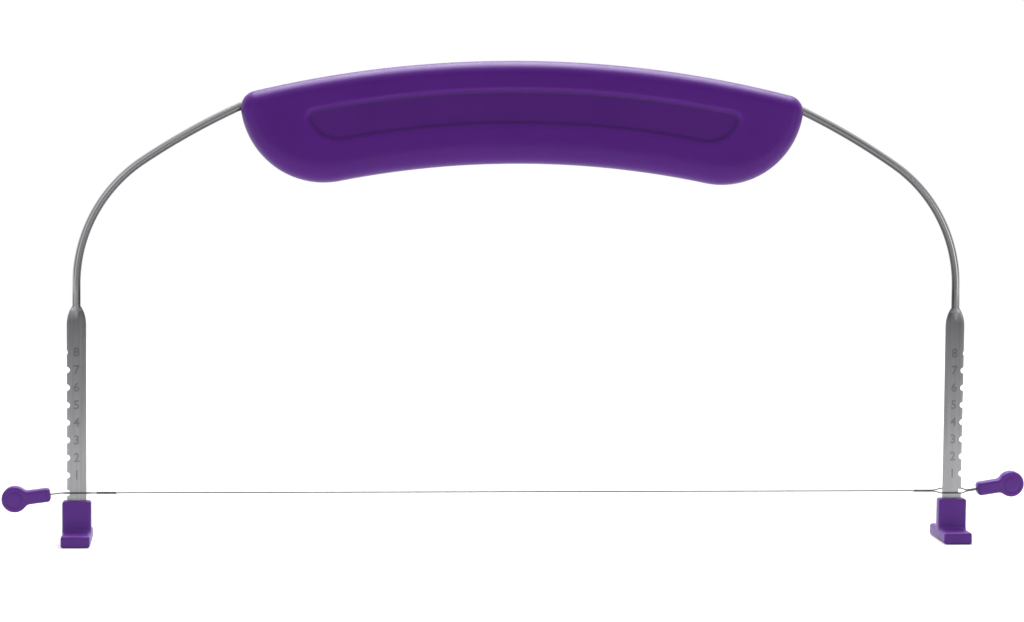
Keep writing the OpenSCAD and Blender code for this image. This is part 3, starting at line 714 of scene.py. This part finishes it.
def bow_surface():
    """Rings from the foot of the right leg to the foot of the left, and their lay. Each
    section stands square to the path at its station, turned by the path's slope."""
    bar = bar_section(LEG_HALF, LEG_THIN, FLAT)
    z = leg_heights()
    across = np.minimum(bar[:, 0], LEG_HALF - notch_depth(z, bar[:, 1]))
    sections = [np.stack([row, bar[:, 1]], axis=1) for row in across]
    stations = [(LEG_X, height, 0.0) for height in z]
    for down in np.linspace(1, 0, NECK_RINGS)[:-1]:
        sections.append(neck_section(down))
        stations.append((LEG_X, NECK_TOP - NECK_L * down, 0.0))
    stations.append((LEG_X, NECK_TOP, 0.0))
    for centre, radius, first, last, steps in bow_arcs():
        stations += [(*(centre + radius * towards(t)), t) for t in np.linspace(first, last, steps)[:-1]]
    level = BEND_R + EXIT_Z - BEND_R * towards(EXIT_A)[1]
    stations += [(EXIT_X - BEND_R * towards(EXIT_A)[0], level, 90.0), (0.0, level, 90.0)]
    sections += [bar_section(BOW_R, BOW_R, ELLIPSE)] * (len(stations) - len(sections))
    section, station = np.array(sections), np.array(stations)
    turn = np.radians(station[:, 2])[:, None]
    rings = np.stack([station[:, :1] + section[:, :, 0] * np.cos(turn), section[:, :, 1],
                      station[:, 1:2] + section[:, :, 0] * np.sin(turn)], axis=-1)
    steps = np.hypot(*np.diff(station[:, :2], axis=0).T)
    run = np.concatenate([[0], np.cumsum(steps)])[:, None] * np.ones(AROUND)
    lay = np.stack([section[:, :, 0], section[:, :, 1], run * BOW_RUN], axis=-1)
    left_lay = lay * np.array([1.0, 1.0, -1.0]) + np.array([0, 0, 2 * lay[-1, 0, 2]])
    return (np.concatenate([rings, mirrored(rings)[::-1][1:]]),
            np.concatenate([lay, left_lay[::-1][1:]]))


bow_rings, bow_lay = bow_surface()
bow = stack_piece("bow", bow_rings, sharp=40, lay=bow_lay)
dress(bow, "frame", ["bow_frame"], bow_steel)
print("bow rings:", len(bow_rings))

# %% [markdown]
# The wire leaves the handle through a round hole at each end, half of it in each
# moulding. A cutter a little wider than the wire opens it.

# %% Holes for the wire
HOLE_L, HOLE_GAP = 9.0, 0.15


def rod(name, start, heading, length, radius, around=48):
    """A round bar in the plane of the bow, from a start point along a heading."""
    side = np.array([-heading[1], heading[0]])
    t = (np.arange(around) + 0.5) / around * 2 * np.pi
    reach = np.array([0, length])[:, None, None]
    flat = start + reach * heading + radius * np.cos(t)[:, None] * side
    across = np.broadcast_to(radius * np.sin(t), flat.shape[:2])
    return stack_piece(name, np.stack([flat[..., 0], across, flat[..., 1]], axis=-1))


outwards = np.array([towards(EXIT_A)[1], -towards(EXIT_A)[0]])
for half in (handle_front, handle_rear):
    for side in (1, -1):
        flip = np.array([side, 1])
        start = np.array([EXIT_X, EXIT_Z]) - HOLE_L / 2 * outwards
        carve(half, rod("hole", start * flip, outwards * flip, HOLE_L, BOW_R + HOLE_GAP), sharp=50)
dress(handle_front, "frame", ["handle_front_shell"], handle_plastic)
dress(handle_rear, "frame", ["handle_rear_shell"], handle_plastic)
print("wire holes cut")

# %% [markdown]
# ## The feet
# Each foot is a short plastic bar with a socket standing on it, seen from the side
# as a T upside down with a fillet on either side. The profile runs along the
# cutting wire, and towards both ends it is drawn inwards along a quarter circle,
# which rounds every edge of the end faces at once.

# %% Feet
FOOT_W, FOOT_HALF, FOOT_BASE, FOOT_H = 9.8, 12.0, 4.1, 14.6
SOCKET_HALF, FILLET, FOOT_EDGE, SOLE_EDGE, SOCKET_EDGE = 2.5, 1.3, 1.0, 0.5, 0.7
# Clearance round the leg in its socket, and the power of the hole's squarer section
SLOT_GAP, SLOT_POWER = 0.05, 8
# Points on each arc of the profile, and profiles in the rounding of each end
FOOT_STEPS, FOOT_END_STEPS = (6, 8, 12, 8, 8, 12, 8, 6), 9


def foot_profile(inset):
    """The T seen from the side, drawn inwards, as arcs whose gaps are the straight
    stretches. A corner whose radius is used up is the point where the two sides meet."""
    e, f, s, top = FOOT_EDGE, FILLET, SOLE_EDGE, SOCKET_EDGE
    right = [((FOOT_HALF - s, s), s, -90, 0, 1), ((FOOT_HALF - e, FOOT_BASE - e), e, 0, 90, 1),
             ((SOCKET_HALF + f, FOOT_BASE + f), f, 270, 180, -1),
             ((SOCKET_HALF - top, FOOT_H - top), top, 0, 90, 1)]
    arcs = right + [((-c[0], c[1]), r, 180 - b, 180 - a, k) for c, r, a, b, k in reversed(right)]
    rows = []
    for (centre, radius, first, last, side), count in zip(arcs, FOOT_STEPS):
        t, reach = np.linspace(first, last, count), radius - side * inset
        spokes = np.array([towards(a) for a in t])
        if reach < 0:
            spokes[:] = towards(first) + towards(last)
        rows.append(np.array(centre) + reach * spokes)
    return np.concatenate(rows)


def foot_rings():
    """The profile at places along the foot, drawn in towards both ends: the inset and the
    distance from the end follow a quarter circle."""
    v = np.linspace(0, np.pi / 2, FOOT_END_STEPS)
    ends, inset = FOOT_W / 2 - FOOT_EDGE * (1 - np.sin(v)), FOOT_EDGE * (1 - np.cos(v))
    return np.array([np.stack([np.full(sum(FOOT_STEPS), x), *foot_profile(d).T], axis=1)
                     for x, d in zip([*-ends[::-1], *ends], [*inset[::-1], *inset])])


def slot_rings():
    """The socket's hole: the leg's bar with a little clearance, open at the top."""
    bar = bar_section(LEG_HALF + SLOT_GAP, LEG_THIN + SLOT_GAP, SLOT_POWER)
    return np.array([np.stack([bar[:, 0], bar[:, 1], np.full(AROUND, z)], axis=1)
                     for z in (SOLE, FOOT_H + 1)])


for side, name in ((-1, "left"), (1, "right")):
    shift = np.array([side * LEG_X, 0, 0])
    foot = stack_piece(f"foot_{name}", foot_rings() + shift)
    carve(foot, stack_piece("slot", slot_rings() + shift))
    dress(foot, "frame", [f"{name}_foot"], foot_plastic)
print("feet stand on z = 0, socket top at", FOOT_H, "mm")

# %% [markdown]
# ## The cutting wire and its loops
# The wire is a fine steel strand. At each end it opens into two strands that
# pass in front of and behind the leg, close again outside it and turn round
# inside the pull knob. The free end is wound back round the strand. So the path of
# a loop is one curve: distance along the wire, reach from its middle line, and
# roll about it are each a function of the step.

# %% Loop sizes
# A strand's radius, the gap in a pair, and the gap between a strand and the leg
STRAND_R, GAP, LEG_GAP = 0.225, 0.04, 0.15
PAIR_R = STRAND_R + GAP / 2
CLASP_Y = LEG_THIN + LEG_GAP + STRAND_R
# Lengths along the wire, from the lead inside the twist to the turn inside the knob
LEAD_L, TWIST_L, OPEN_L, CLOSE_L, TAIL_L, MOUTH_L, EYE_R = 0.9, 6.6, 3.4, 2.0, 3.6, 2.5, 0.6
TWIST_TURNS, TURN_STEPS = 4, 26
# How much a millimetre counts in the lay of a strand, across it and along it
STRAND_SPREAD, STRAND_RUN = 3, 0.3
# Places along the wire, outwards from the middle of the leg
TWIST_OUT = -LEG_HALF - OPEN_L
TWIST_IN = TWIST_OUT - TWIST_L
LEAD_S = TWIST_IN - LEAD_L
CLOSE_S = LEG_HALF + CLOSE_L
GRIP_S = CLOSE_S + TAIL_L + MOUTH_L
EYE_RUN = 3 * EYE_R
EYE_S = GRIP_S + EYE_RUN
# Roll of the loop, roll of its tail, and lift of the tail and knob
TILTS = {"left": (0.0, 0.0, -7.4), "right": (40.0, 60.0, 8.8)}
print("a loop runs from", round(LEAD_S, 2), "to", round(EYE_S + EYE_R, 2), "mm along the wire")


def strand_place(s, reach, roll, lift):
    """Points at distances s outwards from the leg: the reach is turned by the roll about
    the wire, and outside the loop the line rises by the lift."""
    s, reach, roll = np.broadcast_arrays(s, reach, np.radians(roll))
    past, tilt = np.maximum(0, s - CLOSE_S), math.radians(lift)
    return np.stack([LEG_X + np.minimum(s, CLOSE_S) + past * math.cos(tilt), reach * np.cos(roll),
                     NOTCH_LOW + reach * np.sin(roll) + past * math.sin(tilt)], axis=1)


def strand_half(side, roll, tail_roll, lift, steps=14):
    """Twist, opening, closing and grip of the strand on one side of the leg. Outside the
    leg the strands turn on from the loop's roll to the tail's."""
    clasp = CLASP_Y / math.cos(math.radians(roll))
    t, w = np.linspace(0, 1, steps), np.arange(TWIST_TURNS * TURN_STEPS) / (TWIST_TURNS * TURN_STEPS)
    return np.concatenate([
        strand_place(TWIST_IN + TWIST_L * w, side * PAIR_R, roll + 360 * TWIST_TURNS * (1 - w), lift),
        strand_place(TWIST_OUT + OPEN_L * t, side * (PAIR_R + (clasp - PAIR_R) * ease(t)), roll, lift),
        strand_place(LEG_HALF + CLOSE_L * t, side * (clasp + (PAIR_R - clasp) * ease(t)),
                     roll + (tail_roll - roll) * ease(t), lift),
        strand_place(GRIP_S + (EYE_S - GRIP_S) * t, side * (PAIR_R + (EYE_R - PAIR_R) * ease(t)),
                     tail_roll, lift)])


def loop_path(roll, tail_roll, lift, steps=14):
    """Lead from the cutting wire, front strand, turn inside the knob, rear strand."""
    t, turn = np.arange(steps) / steps, np.linspace(0, np.pi, steps)[1:-1]
    start = strand_place(np.array([LEAD_S]), 0.0, roll, lift)
    lead = strand_place(LEAD_S + LEAD_L * t + GAP, -PAIR_R * ease(t), roll, lift)
    eye = strand_place(EYE_S + EYE_R * np.sin(turn), -EYE_R * np.cos(turn), tail_roll, lift)
    return np.concatenate([start, lead, strand_half(-1, roll, tail_roll, lift), eye,
                           strand_half(1, roll, tail_roll, lift)[::-1]])


def tube(path, radius, around=14):
    """Rings square to the path: one axis level, the other square to it and the path. The
    lay is the place on the section and the way along the path."""
    t = np.gradient(path, axis=0)
    t /= np.linalg.norm(t, axis=1)[:, None]
    u = np.cross([0.0, 0.0, 1.0], t)
    u /= np.linalg.norm(u, axis=1)[:, None]
    w = np.cross(t, u)
    a = np.arange(around) / around * 2 * np.pi
    rings = path[:, None] + radius * (np.cos(a)[:, None] * u[:, None] + np.sin(a)[:, None] * w[:, None])
    run = np.concatenate([[0], np.cumsum(np.linalg.norm(np.diff(path, axis=0), axis=1))])
    parts = (radius * np.cos(a) * STRAND_SPREAD, radius * np.sin(a) * STRAND_SPREAD,
             run[:, None] * STRAND_RUN)
    lay = np.stack([np.broadcast_to(part, rings.shape[:2]) for part in parts], axis=-1)
    return rings, lay


print("strands are", 2 * STRAND_R, "mm thick")

# %% [markdown]
# The taut wire between the twists is the same tube along a straight path. It has
# many rings although it is straight, because a very long thin face shades badly.

# %% Wire and loops
SPAN_RINGS, SPAN_AROUND = 160, 20
reach = LEG_X + LEAD_S
along = np.linspace(-reach, reach, SPAN_RINGS)
span = np.stack([along, np.zeros_like(along), np.full_like(along, NOTCH_LOW)], axis=1)
span_rings, span_lay = tube(span, STRAND_R, SPAN_AROUND)
cutting_wire = stack_piece("cutting_strand", span_rings, lay=span_lay)
dress(cutting_wire, "wire", ["cutting_wire"], wire_steel)
for side, tilt in TILTS.items():
    rings, lay = tube(loop_path(*tilt), STRAND_R)
    rings = mirrored(rings) if side == "left" else rings
    loop = stack_piece(f"loop_{side}", rings, lay=lay)
    dress(loop, "wire", [f"{side}_wire_loop"], wire_steel)
print("span between the loops:", round(2 * reach, 1), "mm")

# %% [markdown]
# ## The pull knobs
# A knob is a flat disc with a neck that grips the paired strands. Its outline is
# again a chain of arcs, and the rounded edge is the outline drawn inwards along a
# quarter circle. On the disc a shallow groove follows the edge.

# %% Knobs
# The disc's radius, its distance from the neck's mouth, and the neck's half width
KNOB_R, KNOB_REACH, NECK_HALF = 4.45, 12.1, 2.35
# Thickness, rounding of the edge, fillets beside the neck and corners of its mouth
KNOB_THICK, KNOB_EDGE, KNOB_FILLET = 4.5, 1.1, 2.6
KNOB_CORNER = 1.2 * KNOB_EDGE
# Points on each arc of the outline, and outlines in the rounding of the edge
KNOB_STEPS, KNOB_EDGE_STEPS = (88, 12, 10, 10, 12), 11
# The face from its middle over the groove: distance from the middle, and depth
GROOVE = ((0, 0), (1.4, 0), (2.55, 0), (2.68, 0.10), (2.85, 0.16), (3.02, 0.10), (3.15, 0))
# The share of the way to the edge that none of these rings goes past
FACE_LIMIT = 0.98
# Room round the strands, and the funnel at the mouth: its start and added radius
BORE_GAP, FUNNEL_OUT, FUNNEL_IN, FUNNEL_WIDER = 0.06, -0.5, 0.25, 0.75


def knob_arcs():
    """Disc, two fillets and two corners of the neck, with the mouth of the neck at zero."""
    r, f, half, c = KNOB_R, KNOB_FILLET, NECK_HALF, KNOB_CORNER
    fillet_x = KNOB_REACH - math.sqrt((r + f) ** 2 - (half + f) ** 2)
    meet = math.degrees(math.atan2(half + f, KNOB_REACH - fillet_x))
    return [((KNOB_REACH, 0), r, meet - 180, 180 - meet, 1), ((fillet_x, half + f), f, -meet, -90, -1),
            ((c, half - c), c, 90, 180, 1), ((c, c - half), c, 180, 270, 1),
            ((fillet_x, -half - f), f, 90, meet, -1)]


def knob_outline(inset):
    """The outline drawn inwards, with both ends of each arc so that straights stay straight."""
    rows = []
    for (centre, radius, first, last, side), count in zip(knob_arcs(), KNOB_STEPS):
        t = np.radians(np.linspace(first, last, count))
        spokes = np.stack([np.cos(t), np.sin(t)], axis=1)
        rows.append(np.array(centre) + (radius - side * inset) * spokes)
    return np.concatenate(rows)


def knob_rings():
    """From the middle of one face over its groove, round the edge, to the other face."""
    centre = np.array([KNOB_REACH, 0.0])
    edge = knob_outline(KNOB_EDGE)
    away = edge - centre
    far = np.hypot(*away.T)[:, None]
    face = [(centre + away / far * np.minimum(r, far * FACE_LIMIT), d) for r, d in GROOVE]
    sides = [(knob_outline(KNOB_EDGE * (1 - np.sin(t))), KNOB_EDGE * (1 - np.cos(t)))
             for t in np.linspace(0, np.pi / 2, KNOB_EDGE_STEPS)]
    half = [(flat, KNOB_THICK / 2 - d) for flat, d in face + sides]
    rings = [at_depth(flat, depth) for flat, depth in half]
    rings += [at_depth(flat, -depth) for flat, depth in reversed(half)]
    return np.array(rings)


def bore_rings():
    """The mouth for the paired strands and the wider room for their turn."""
    a = np.arange(32) / 32 * 2 * np.pi
    mouth, room = PAIR_R + STRAND_R + BORE_GAP, EYE_R + STRAND_R + BORE_GAP
    steps = ((FUNNEL_OUT, mouth + FUNNEL_WIDER), (FUNNEL_IN, mouth), (MOUTH_L, mouth), (MOUTH_L, room),
             (MOUTH_L + EYE_RUN + room, room))
    return np.array([np.stack([np.full_like(a, x), r * np.cos(a), r * np.sin(a)], axis=1)
                     for x, r in steps])


def knob_place(rings, side, lift):
    """Lay the knob along its strands: past the loop's end, tilted by the lift."""
    c, s = math.cos(math.radians(lift)), math.sin(math.radians(lift))
    x, z = rings[..., 0] + TAIL_L, rings[..., 2]
    placed = np.stack([LEG_X + CLOSE_S + x * c - z * s, rings[..., 1], NOTCH_LOW + x * s + z * c],
                      axis=-1)
    return mirrored(placed) if side == "left" else placed


for side, (_, _, lift) in TILTS.items():
    knob = stack_piece(f"knob_{side}", knob_place(knob_rings(), side, lift), caps=(False, False), sharp=40)
    carve(knob, stack_piece("bore", knob_place(bore_rings(), side, lift)), sharp=40)
    dress(knob, "wire", [f"{side}_pull_knob"], foot_plastic)
print("knob length:", KNOB_REACH + KNOB_R, "mm")

# %% [markdown]
# ## The height marks
# On the tool a number beside each notch is stamped lightly into the front of the
# leg. A cut that shallow would hardly show, so here each number is a thin mesh, a
# hundredth of a millimetre proud of the face, in a darker and duller steel. Text
# starts as a curve, is made a mesh, and only then takes its place in that mesh.

# %% Numbers
# Height of the type, its width against the font's, and how far strokes swell and rise
NUMBER_SIZE, NUMBER_SQUEEZE, NUMBER_SWELL, NUMBER_RISE = 4.3, 0.95, 0.09, 0.01
# In metres: points of a number closer than this are one
NUMBER_MERGE = 1e-7


def number_mesh(text, x, z):
    """One number made a mesh, then turned upright and put on the front of the leg: the
    letter's height becomes z and its thickness becomes minus y."""
    curve = bpy.data.curves.new("number", "FONT")
    curve.body, curve.size, curve.align_x, curve.align_y = text, NUMBER_SIZE, "CENTER", "CENTER"
    curve.extrude, curve.offset, curve.resolution_u = NUMBER_RISE, NUMBER_SWELL, 4
    holder = bpy.data.objects.new("number", curve)
    bpy.context.scene.collection.objects.link(holder)
    bpy.context.view_layer.update()
    graph = bpy.context.evaluated_depsgraph_get()
    flat = bpy.data.meshes.new_from_object(holder.evaluated_get(graph))
    bpy.data.objects.remove(holder)
    flat.transform(Matrix(((NUMBER_SQUEEZE, 0, 0, x), (0, 0, -1, -LEG_THIN), (0, 1, 0, z), (0, 0, 0, 1))))
    flat.transform(Matrix.Scale(MM, 4))
    return flat


shape = bmesh.new()
for side in (-1, 1):
    for number in range(1, NOTCHES + 1):
        shape.from_mesh(number_mesh(str(number), side * LEG_X, NOTCH_LOW + PITCH * number))
bmesh.ops.remove_doubles(shape, verts=shape.verts, dist=NUMBER_MERGE)
bmesh.ops.recalc_face_normals(shape, faces=shape.faces)
mesh = bpy.data.meshes.new("leg_numbers")
shape.to_mesh(mesh)
shape.free()
numbers = bpy.data.objects.new("leg_numbers", mesh)
bpy.context.scene.collection.objects.link(numbers)
dress(numbers, "frame", [], stamp_steel)
print("numbers:", 2 * NOTCHES, "with", len(mesh.polygons), "faces")
